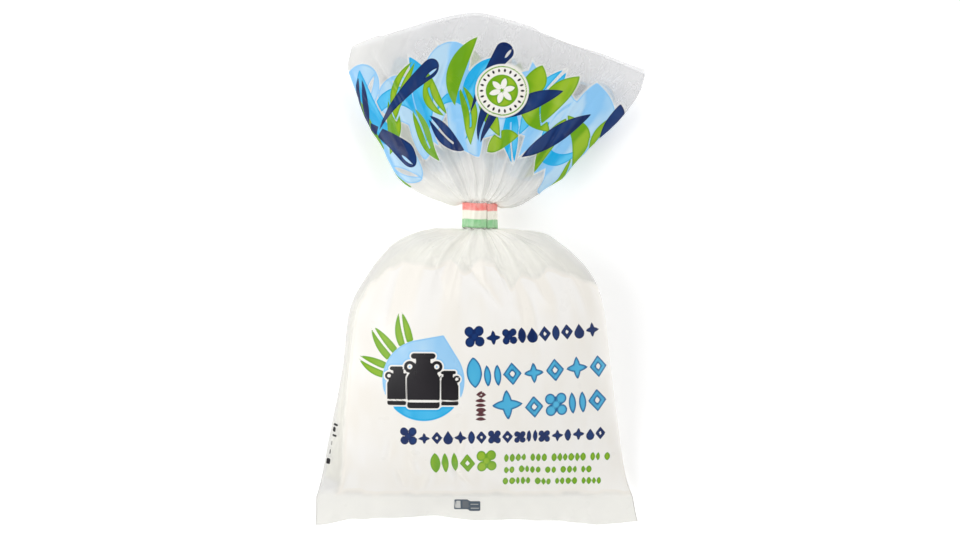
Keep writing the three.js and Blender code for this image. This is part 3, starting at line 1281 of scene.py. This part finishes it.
@dataclass
class Pouch(FilmPiece):
    """The filled part of the bag, with its seal, and half of the neck."""

    net: Net = Net(212, 106)
    rings: int = 212
    seal_rings: int = 26
    neck_rings: int = 4
    seal_width: float = 15.0
    seal_edge: Stops = (  # how far its edge falls short of that width, by film from the left fold
        (0, 0.7), (19, 3.6), (35, 4.0), (57, 5.2), (80, 3.1), (97, 3.3), (118, 2.7), (139, 1.0), (158, 2.4),
    )
    seal_spread: tuple[float, float] = (0.5, 2.6)  # how far its corners stand out, left and right
    seal_fall: float = 3.0
    clear_rings: int = 6  # rings beyond the seal before the film has an inside
    least_clearance: float = 0.3  # between the deepest fold and the contents
    contents_gap: Stops = ((6.0, 2.2), (40.0, 1.1))  # room behind the smooth film, by film from the tie
    milk: Stops = ((0.0, 1.0), (26.0, 0.74), (60.0, 0.46), (POUCH_FILM - 5, 0.52), (POUCH_FILM, 0.86))
    gather: Gather = Gather(deepest=1.3, fine=0.34, finest=0.1)
    shoulder_folds: tuple[Crease, ...] = (
        Crease((62, 22), (91, 50), 1.9, 2.2, 3.0),
        Crease((90, 20), (102, 62), 2.3, 2.4, 3.0),
        Crease((84, 16), (97, 48), -1.2, 3.2, 2.0),
        Crease((38, 26), (60, 46), 1.1, 2.6, 2.0),
        Crease((112, 20), (118, 56), 1.6, 2.6, -1.0),
        Crease((124, 22), (128, 50), -0.9, 2.6),
        Crease((137, 34), (139, 70), 1.0, 3.0),
        Crease((24, 34), (34, 70), 0.9, 3.0),
        Crease((10, 40), (9.5, 154), 0.6, 0.9),
    )
    scattered: tuple[CreaseField, ...] = (
        CreaseField(count=34, seed=21, band=(16, 62), lengths=(24, 60), depth=0.9, tilt=0.25),
        CreaseField(count=44, seed=22, band=(118, 150), lengths=(14, 34), depth=0.8, tilt=0.6),
    )

    def build(self, finish: bpy.types.Material) -> bpy.types.Object:
        """Builds the pouch's film.

        Args:
            finish: The film's material.

        Returns:
            The new object.
        """
        shares = np.linspace(1, 0, self.rings) ** 1.12
        s = self.net.film()
        body = POUCH_FORM.rings(shares, self.net)
        base = np.concatenate([self.seal(body[0], s), body, self.neck(body[-1])])
        seal_d = POUCH_FILM + self.seal_width * np.linspace(1, 0, self.seal_rings, endpoint=False)
        d = np.concatenate([seal_d, shares * POUCH_FILM, np.zeros(self.neck_rings)])[:, None]
        deepest = self.least_clearance - between(self.contents_gap, d)
        height = np.where(d < POUCH_FILM, np.maximum(self.relief(s, d), deepest), 0.0)
        s, d = np.broadcast_arrays(s, d)
        sheet = PrintSheet(s, d, base[..., 0], base[..., 1])
        FrontPanel().paint(sheet)
        values = self.surface_values(sheet, height, between(self.milk, d))
        first_inner = self.seal_rings + self.clear_rings
        return self.skin("pouch_film", base, height, first_inner, End.ZIP, values, finish)

    def seal(self, inner_edge: Array, s: Array) -> Array:
        """Rings of the flat seal, from its outer edge in.

        Args:
            inner_edge: The ring where the seal ends.
            s: Film round the tube.

        Returns:
            The rings.
        """
        out = np.linspace(1, 0, self.seal_rings, endpoint=False)[:, None]
        rings = np.repeat(inner_edge[None], self.seal_rings, axis=0)
        across = np.where(s <= LAY_FLAT, s, ROUND - s)
        short = between(self.seal_edge, across) + 0.2 * film_noise(across, 0 * across, cell=6.0, seed=6)
        left, right = self.seal_spread
        rings[..., 0] += out * ((left + right) * across / LAY_FLAT - left)
        rings[..., 1] += -self.seal_width * out + short * out**2
        ripple = 1.1 * film_noise(across, 9 * out, cell=15.0, seed=8)
        ripple = ripple + 0.5 * film_noise(across, 6 * out, cell=6.0, seed=9)
        rings[..., 2] += -self.seal_fall * out + ripple * smooth(1.4 * out)
        return rings

    def neck(self, start: Array) -> Array:
        """Rings of the neck, from the shoulder up to the middle of the tape.

        Args:
            start: The ring where the shoulder ends.

        Returns:
            The rings.
        """
        rings = np.repeat(start[None], self.neck_rings, axis=0)
        rise = np.linspace(0, 1, self.neck_rings + 1)[1:, None]
        rings[..., 1] += (TAPE_WIDTH / 2 + NECK_SHOWING) * rise
        return rings

    def relief(self, s: Array, d: Array) -> Array:
        """Height of all folds and creases.

        Args:
            s: Film round the tube.
            d: Film from the tie.

        Returns:
            Heights out of the surface.
        """
        turn = 2 * math.pi * s / ROUND
        creases = [*self.shoulder_folds, *(crease for group in self.scattered for crease in group.draw())]
        height = self.gather.broad(turn, d) + self.gather.small(turn, d)
        height = height + sum(crease.height(s, d) for crease in creases)
        height = height + 0.45 * film_noise(s, d, cell=34.0, seed=31) * smooth(d / 20)
        loose = smooth(d / 10) * (1 - smooth((d - 20) / 34))
        height = height + loose * crumple(s, d, cell=21.0, depth=0.75, seed=33)
        return height * (1 - smooth((d - POUCH_FILM + 9) / 8))


@dataclass
class FrontPanel:
    """The opaque white panel and its print, placed as seen from above."""

    wrap: float = 7.0
    bottom: float = -131.5
    emblem_middle: tuple[float, float] = (-27.5, -72.5)
    text_tilt: float = 4.4
    left_edge: Stops = ((30, 8.6), (62, 11.8), (100, 11.2), (150, 10))
    top: Stops = (
        (-61.2, -39.0), (-51.0, -26.0), (-42.8, -19.3), (-36.7, -16.4), (-29.9, -18.4), (-23.5, -19.6),
        (-14.0, -15.9), (-7.3, -21.8), (0.0, -16.7), (6.0, -17.8), (11.2, -22.8), (15.5, -29.0),
        (20.8, -22.8), (28.2, -24.5), (33.0, -19.7), (44.0, -22.8), (53.6, -26.7), (61.5, -29.0),
    )
    back_top: float = -24.0
    back_sides: tuple[float, float] = (20.0, 9.0)  # bare film beside the rear panel, right and left
    stamp: tuple[float, float] = (-6.1, -136.9)
    faded: float = -0.03  # how far inside the bare parts of the stamp its ink still shows
    fold_marks: tuple[tuple[float, float, float, float], ...] = (
        (5.0, 122.4, 3.6, 1.1), (4.2, 124.8, 2.2, 2.2), (4.9, 127.6, 3.0, 1.1),
        (3.4, 131.4, 0.8, 2.8), (3.0, 135.6, 0.7, 2.4), (2.3, 140.2, 2.4, 2.8),
    )
    petals: tuple[tuple[float, float, float], ...] = (  # direction in degrees, length and distance of each
        (158, 24, 20), (130, 28, 21.5), (104, 25, 23),
    )
    churns: tuple[tuple[float, float, float], ...] = (  # place from the emblem's middle and height of each
        (-11.5, -13.5, 19.0), (12.5, -13.5, 17.0), (0.5, -15.0, 27.0),
    )
    churn_outline: float = 0.7

    def paint(self, sheet: PrintSheet) -> None:
        """Prints the panels, the emblem, the rows and the small marks.

        Args:
            sheet: The print to add to.
        """
        ragged = 0.5 * film_noise(sheet.s, sheet.d, cell=5.0, seed=71)
        front = np.minimum.reduce([
            between(self.top, sheet.x) + ragged - sheet.y, sheet.y - self.bottom + 2 * ragged,
            sheet.s - between(self.left_edge, sheet.d) + ragged, LAY_FLAT + self.wrap - sheet.s,
        ])
        back = np.minimum.reduce([
            self.back_top + 2 * np.sin(sheet.x / 6) - sheet.y, sheet.y - self.bottom,
            sheet.s - LAY_FLAT - self.back_sides[0], ROUND - self.back_sides[1] - sheet.s,
        ])
        sheet.paint(Ink.WHITE, -np.maximum(front, back))
        self.emblem(sheet)
        for row in self.rows():
            row.paint(sheet)
        self.small_marks(sheet)

    def small_marks(self, sheet: PrintSheet) -> None:
        """Prints the block of bars on the seal and the marks along the left fold.

        Args:
            sheet: The print to add to.
        """
        x, y = sheet.x - self.stamp[0], sheet.y - self.stamp[1]
        y = y + 0.9 * smooth(x / 1.5)
        sheet.paint_front(Ink.SLATE, block_distance(x, y, 13.0, 5.0, 0.4))
        sheet.cut(Ink.SLATE, np.maximum(block_distance(x + 4.4, y, 2.6, 3.6, 0.3), self.faded))
        for bar in (-1.1, 0.9):
            sheet.cut(Ink.SLATE, np.maximum(block_distance(x - 3.6, y - bar, 4.4, 0.5, 0.2), self.faded))
        for s, d, length, height in self.fold_marks:
            sheet.paint_front(Ink.BLACK, block_distance(sheet.s - s, sheet.d - d, length, height, 0.3))

    def emblem(self, sheet: PrintSheet) -> None:
        """Prints three milk churns before a drop, with petals behind it.

        Args:
            sheet: The print to add to.
        """
        middle = self.emblem_middle
        for angle, length, out in self.petals:
            x, y = turned(sheet.x, sheet.y, (middle[0] - 2, middle[1] - 2), math.radians(angle))
            sheet.paint_front(Ink.GREEN, Motif.SPLIT_PETAL.distance(out - x, y, length, 8.0, 1.2))
        x, y = turned(sheet.x, sheet.y, (middle[0] + 0.5, middle[1] - 1.5), math.radians(66))
        drop = drop_distance(x, y, 24, 19.8)
        sheet.paint_front(Ink.SKY, drop)
        wave = sheet.y - middle[1] + 9 - 1.3 * np.sin((sheet.x - middle[0]) / 3.2)
        sheet.paint_front(Ink.CYAN, np.maximum(drop + 0.2, wave))
        for across, up, height in self.churns:
            churn = churn_distance(sheet.x - middle[0] - across, sheet.y - middle[1] - up, height)
            sheet.paint_front(Ink.WHITE, churn - self.churn_outline)
            sheet.paint_front(Ink.BLACK, churn)

    def rows(self) -> Iterable[OrnamentRow | GrainRow]:
        """The rows of ornaments and grains, from the top."""
        tilt = math.radians(self.text_tilt)
        return (
            OrnamentRow((-7.0, -54.4), 66.0, 7.6, Ink.NAVY, 41, tilt),
            OrnamentRow((-6.0, -72.3), 69.0, 11.2, Ink.AZURE, 42, tilt),
            OrnamentRow((6.0, -88.2), 57.0, 11.2, Ink.AZURE, 45, tilt),
            OrnamentRow((0.6, -93.5), 15.0, 5.6, Ink.WINE, 44, math.pi / 2, first=1.0),
            OrnamentRow((-38.5, -102.4), 101.0, 6.6, Ink.NAVY, 46, math.radians(1)),
            OrnamentRow((-24.0, -115.2), 33.0, 10.6, Ink.GREEN, 47, math.radians(3), first=1.0),
            GrainRow((12.0, -112.4), 52.5, 4.9, Ink.GREEN, 48),
            GrainRow((12.0, -118.8), 42.0, 4.0, Ink.GREEN, 49),
            GrainRow((11.4, -124.7), 48.5, 4.0, Ink.GREEN, 50),
        )


@dataclass
class OpenTop(FilmPiece):
    """The fanned-out top of the bag above the tie, with its scattered print."""

    net: Net = Net(232, 150)
    rings: int = 176
    neck_rings: int = 4
    print_band: tuple[float, float] = (21.0, 88.0)
    badge: tuple[float, float] = (11.0, 66.9)
    badge_radius: float = 13.2
    badge_marks: int = 22
    mouth_swell: float = 1.2
    rim_starts: float = 60.0  # film from the tie to where the mouth's uneven edge begins to tell
    milk: Stops = ((0.0, 0.96), (14.0, 0.56), (38.0, 0.06))
    left_painted_light: Stops = ((8.0, 0.42), (46.0, 0.0))  # painted light: milk that its left corner adds, making it lighter, by film from the left fold
    gather: Gather = Gather(deepest=1.6, at_end=0.5, fine=0.36, finest=0.1)
    scattered: CreaseField = CreaseField(
        count=70, seed=51, band=(16, 84), lengths=(18, 64), depth=1.3, tilt=0.5,
    )
    motifs: tuple[Scatter, ...] = (
        Scatter(
            Ink.SKY, (Motif.PETAL, Motif.DROP),
            columns=10, rows=3, length=(36, 56), width=(20, 28), tilt=0.9, shift=0.2, seed=81, halo=None,
        ),
        Scatter(
            Ink.CYAN, (Motif.PETAL, Motif.SPLIT_PETAL, Motif.CRESCENT),
            columns=8, rows=2, length=(32, 48), width=(10, 13), tilt=1.0, shift=0.6, seed=82,
        ),
        Scatter(
            Ink.GREEN, (Motif.PETAL, Motif.SPLIT_PETAL),
            columns=10, rows=3, length=(24, 42), width=(8.5, 12.5), tilt=1.1, shift=0.1, seed=83,
        ),
        Scatter(
            Ink.NAVY, (Motif.PETAL, Motif.SPLIT_PETAL, Motif.DROP),
            columns=8, rows=2, length=(28, 48), width=(9, 13), tilt=1.2, shift=0.4, seed=84,
        ),
    )

    def build(self, finish: bpy.types.Material) -> bpy.types.Object:
        """Builds the open top's film.

        Args:
            finish: The film's material.

        Returns:
            The new object.
        """
        shares = np.linspace(0, 1, self.rings) ** 1.1
        s = self.net.film()
        body = FLARE_FORM.rings(shares, self.net)
        neck = np.repeat(body[:1], self.neck_rings, axis=0)
        drop = np.linspace(1, 0, self.neck_rings, endpoint=False)[:, None]
        neck[..., 1] -= (TAPE_WIDTH / 2 + NECK_SHOWING) * drop
        base = np.concatenate([neck, body])
        d = np.concatenate([np.zeros(self.neck_rings), shares * FLARE_FILM])[:, None]
        base[..., 1] += self.rim_shift(s) * smooth((d - self.rim_starts) / (FLARE_FILM - self.rim_starts))
        height = self.relief(s, d)
        s, d = np.broadcast_arrays(s, d)
        sheet = PrintSheet(s, d, base[..., 0], base[..., 1])
        for scatter in self.motifs:
            scatter.paint(sheet, self.print_band)
        self.paint_badge(sheet)
        # The milk added towards the left fold is painted light, making that side lighter.
        milk = between(self.milk, d) + between(self.left_painted_light, np.minimum(s, ROUND - s))
        values = self.surface_values(sheet, height, milk)
        return self.skin("open_top_film", base, height, 0, End.LOOP, values, finish)

    def rim_shift(self, s: Array) -> Array:
        """How far the mouth's edge runs ahead of its straight cut.

        Args:
            s: Film round the tube.

        Returns:
            Distances towards the mouth.
        """
        front = s <= LAY_FLAT
        right = smooth((s - 96) / 6) * front
        left_corner = 1 - smooth((s - 15) / 4)
        ragged = 0.5 * film_noise(s, 0 * s, cell=17.0, seed=77)
        return ragged - 2.2 * right + 0.9 * left_corner * front

    def relief(self, s: Array, d: Array) -> Array:
        """Height of all folds, creases and waves.

        Args:
            s: Film round the tube.
            d: Film from the tie.

        Returns:
            Heights out of the surface.
        """
        turn = 2 * math.pi * s / ROUND
        creases = sum(crease.height(s, d) for crease in self.scattered.draw())
        height = self.gather.broad(turn, d) + self.gather.small(turn, d) + creases
        height = height + self.mouth_swell * d / FLARE_FILM * (np.sin(4 * turn) + 0.5 * np.sin(7 * turn))
        loose = smooth(d / 26) * (1 - 0.6 * smooth((d - 58) / 26))
        return height + loose * crumple(s, d, cell=27.0, depth=0.75, seed=61)

    def paint_badge(self, sheet: PrintSheet) -> None:
        """Prints a white disc with a green ring and a blossom.

        Args:
            sheet: The print to add to.
        """
        x, y = sheet.x - self.badge[0], sheet.y - self.badge[1]
        away = np.hypot(x, y)
        sheet.paint_front(Ink.WHITE, away - self.badge_radius)
        sheet.paint_front(Ink.GREEN, np.abs(away - self.badge_radius + 1.3) - 0.3)
        sheet.paint_front(Ink.GREEN, away - self.badge_radius * 0.6)
        for k in range(6):
            px, py = turned(x, y, (0.0, 0.0), math.radians(60 * k + 15))
            sheet.paint_front(Ink.WHITE, petal_distance(px - 3.6, py, 5.8, 2.8))
        for k in range(self.badge_marks):
            px, py = turned(x, y, (0.0, 0.0), 2 * math.pi * k / self.badge_marks)
            sheet.paint_front(Ink.BLACK, petal_distance(px - 0.76 * self.badge_radius, py, 2.2, 1.1))


@dataclass
class Contents:
    """Brine and cheese that fill the pouch, seen through the film."""

    gap: Stops
    net: Net = Net(80, 80)
    rings: int = 110
    from_tie: float = 0.022
    to_seal: float = 0.962
    side_gap: float = 3.5  # more room at the side folds near the tie, where only film shows
    off_table: float = 0.3

    def build(self, finish: bpy.types.Material) -> bpy.types.Object:
        """Builds the contents.

        Args:
            finish: Their material.

        Returns:
            The new object.
        """
        ease = (1 - np.cos(np.linspace(0, math.pi, self.rings))) / 2
        shares = self.to_seal + (self.from_tie - self.to_seal) * ease
        base = POUCH_FORM.rings(shares, self.net)
        d = (shares * POUCH_FILM)[:, None]
        to_side = np.abs(2 * np.mod(self.net.film(), LAY_FLAT) / LAY_FLAT - 1)
        at_side = smooth((to_side - 0.55) / 0.45) * (1 - smooth((d - 25) / 45))
        inset = between(self.gap, d) + self.side_gap * at_side
        rings = base - normals_of(base) * inset[:, :, None]
        ends = np.minimum(1, np.minimum(ease, 1 - ease) * 30)[:, None, None]
        middle = rings.mean(axis=1, keepdims=True)
        rings = middle + (rings - middle) * np.sqrt(1 - 0.5 * (1 - ends) ** 2)
        rings[..., 2] = np.maximum(rings[..., 2], self.off_table)
        faces = self.net.faces(self.rings, End.ZIP)
        return make_piece("brine_and_cheese", Role("contents", "bag"), rings, faces, {}, finish)


@dataclass
class TieTape:
    """A turn of striped tape that grips the neck, its end lapped over its start."""

    steps: int = 150
    rows: int = 14
    thickness: float = 0.16
    slack: float = 0.45
    lap_start: float = -50.0
    lap_end: float = 64.0
    lap_lift: float = 0.38
    lap_skew: float = 0.5  # how much lower the lapped end lies
    pinch: float = 0.22  # how deep the neck's folds draw it in
    fine_pinch: float = 0.12
    spiral: float = 0.1  # how much wider the turn is at its end than at its start
    edge_flare: float = 0.1
    sway: float = 0.25  # how far the turn wanders along the neck

    def build(self, finish: bpy.types.Material) -> bpy.types.Object:
        """Builds the tape.

        Args:
            finish: Its material.

        Returns:
            The new object.
        """
        turn = np.radians(np.linspace(self.lap_end - 360, self.lap_end, self.steps))[:, None]
        across = np.linspace(0, 1, self.rows)[None, :]
        outer, inner = (self.face(turn, across, out) for out in (self.thickness, 0.0))
        sections = np.concatenate([outer[:, ::-1], inner], axis=1)
        values = {"across": np.tile(np.concatenate([across[0, ::-1], across[0]]), self.steps)}
        faces = Net(self.rows, self.rows).faces(self.steps, End.ZIP)
        return make_piece("neck_tape", Role("tape", "tie_tape"), sections, faces, values, finish)

    def face(self, turn: Array, across: Array, out: float) -> Array:
        """One face of the tape.

        Args:
            turn: Angles round the neck, a column.
            across: Shares of the tape's width, a row.
            out: How far the face lies outside the tape's inner face.

        Returns:
            Points by turn and width.
        """
        pinch = self.pinch * np.sin(7 * turn + 1.5 * np.sin(2 * turn))
        pinch = pinch + self.fine_pinch * np.sin(17 * turn + 3 * across)
        lapped = smooth((turn - math.radians(self.lap_start)) / 0.5)
        lift = self.lap_lift * lapped + self.spiral * (turn - turn[0]) / (2 * math.pi)
        flare = self.edge_flare * (2 * across - 1) ** 2
        reach = NECK_PLEAT + TAPE_CLEARANCE + self.slack + lift + pinch + flare + out
        x = (NECK_HALF_WIDTH + reach) * np.cos(turn)
        z = NECK_HEIGHT + (NECK_HALF_DEPTH + reach) * np.sin(turn)
        y = TAPE_WIDTH * across + self.sway * np.sin(3 * turn) - self.lap_skew * lapped
        return np.stack([x, y, z], axis=2)


# Stage


@dataclass(frozen=True)
class SoftLight:
    """A soft area light aimed at the pack, in metres and watts."""

    name: str
    place: tuple[float, float, float]
    size: tuple[float, float]
    power: float

    def build(self) -> None:
        """Adds the light."""
        light = bpy.data.lights.new(self.name, "AREA")
        light.shape = "RECTANGLE"
        light.size, light.size_y = self.size
        light.energy = self.power
        lamp = add_object(self.name, light)
        lamp.location = self.place
        lamp.rotation_euler = (-Vector(self.place)).to_track_quat("-Z", "Y").to_euler()


@dataclass
class Stage:
    """Pale floor, soft studio light and the camera above the pack."""

    mm_per_pixel: float = 0.49
    picture_width: int = 960
    picture_middle: tuple[float, float] = (0.25, -20.8)  # in the drawing frame
    focus_height: float = 20.0
    lens: float = 100.0
    sensor: float = 36.0
    floor_size: float = 6.0
    side_sky: float = 0.88
    top_sky: float = 0.2
    top_starts: float = 0.62  # height of a direction where the darker top of the sky starts
    top_full: float = 0.94
    lights: tuple[SoftLight, ...] = (
        SoftLight("key_light", (-1.0, 0.0, 1.0), (0.9, 0.9), 7.0),
        SoftLight("back_light", (0.75, 0.75, 1.15), (0.9, 0.6), 3.4),
        SoftLight("fill_light", (1.0, 0.0, 1.0), (0.9, 0.9), 0.7),
    )

    def build(self) -> None:
        """Builds the floor, the lights, the world and the camera."""
        self.floor()
        self.world()
        for light in self.lights:
            light.build()
        self.camera()

    def floor(self) -> None:
        """Makes the floor."""
        half = self.floor_size / 2
        mesh = bpy.data.meshes.new("floor")
        corners = [(-half, -half, 0), (half, -half, 0), (half, half, 0), (-half, half, 0)]
        mesh.from_pydata(corners, [], [(0, 1, 2, 3)])
        mesh.materials.append(PaleFloor().build())
        add_object("floor", mesh)

    def world(self) -> None:
        """Lights the scene from all sides, and less from right above."""
        world = bpy.data.worlds.new("studio")
        world.use_nodes = True
        nodes = NodeNet(world.node_tree)
        direction = nodes.node("ShaderNodeTexCoord").outputs["Generated"]
        height = nodes.node("ShaderNodeSeparateXYZ", {"Vector": direction}).outputs["Z"]
        strength = nodes.step(
            height, self.top_starts, self.top_full, To_Min=self.side_sky, To_Max=self.top_sky,
        )
        background = next(n for n in nodes.tree.nodes if n.type == "BACKGROUND")
        nodes.feed(background.inputs["Color"], (1.0, 1.0, 1.0))
        nodes.feed(background.inputs["Strength"], strength)
        bpy.context.scene.world = world

    def camera(self) -> None:
        """Puts the camera straight above the pack."""
        data = bpy.data.cameras.new("camera")
        data.lens = self.lens
        data.sensor_width = self.sensor
        camera = add_object("camera", data)
        width = self.mm_per_pixel * self.picture_width
        height = self.focus_height + width * self.lens / self.sensor
        camera.location = Vector((np.array([*self.picture_middle, height]) + ORIGIN) * MM)
        bpy.context.scene.camera = camera
        bpy.context.scene.view_settings.view_transform = "Standard"


def main() -> None:
    """Builds the stage and the pack, and reports each piece of the pack."""
    logging.basicConfig(level=logging.INFO, format="%(name)s: %(message)s")
    film = PrintedFilm().build()
    Stage().build()
    pouch = Pouch()
    pieces = (
        pouch.build(film),
        OpenTop().build(film),
        Contents(pouch.contents_gap).build(WetCheese().build()),
        TieTape().build(StripedTape().build()),
    )
    for piece in pieces:
        LOG.info("%s: %d vertices, %d faces", piece.name, len(piece.data.vertices), len(piece.data.polygons))


if __name__ == "__main__":
    main()
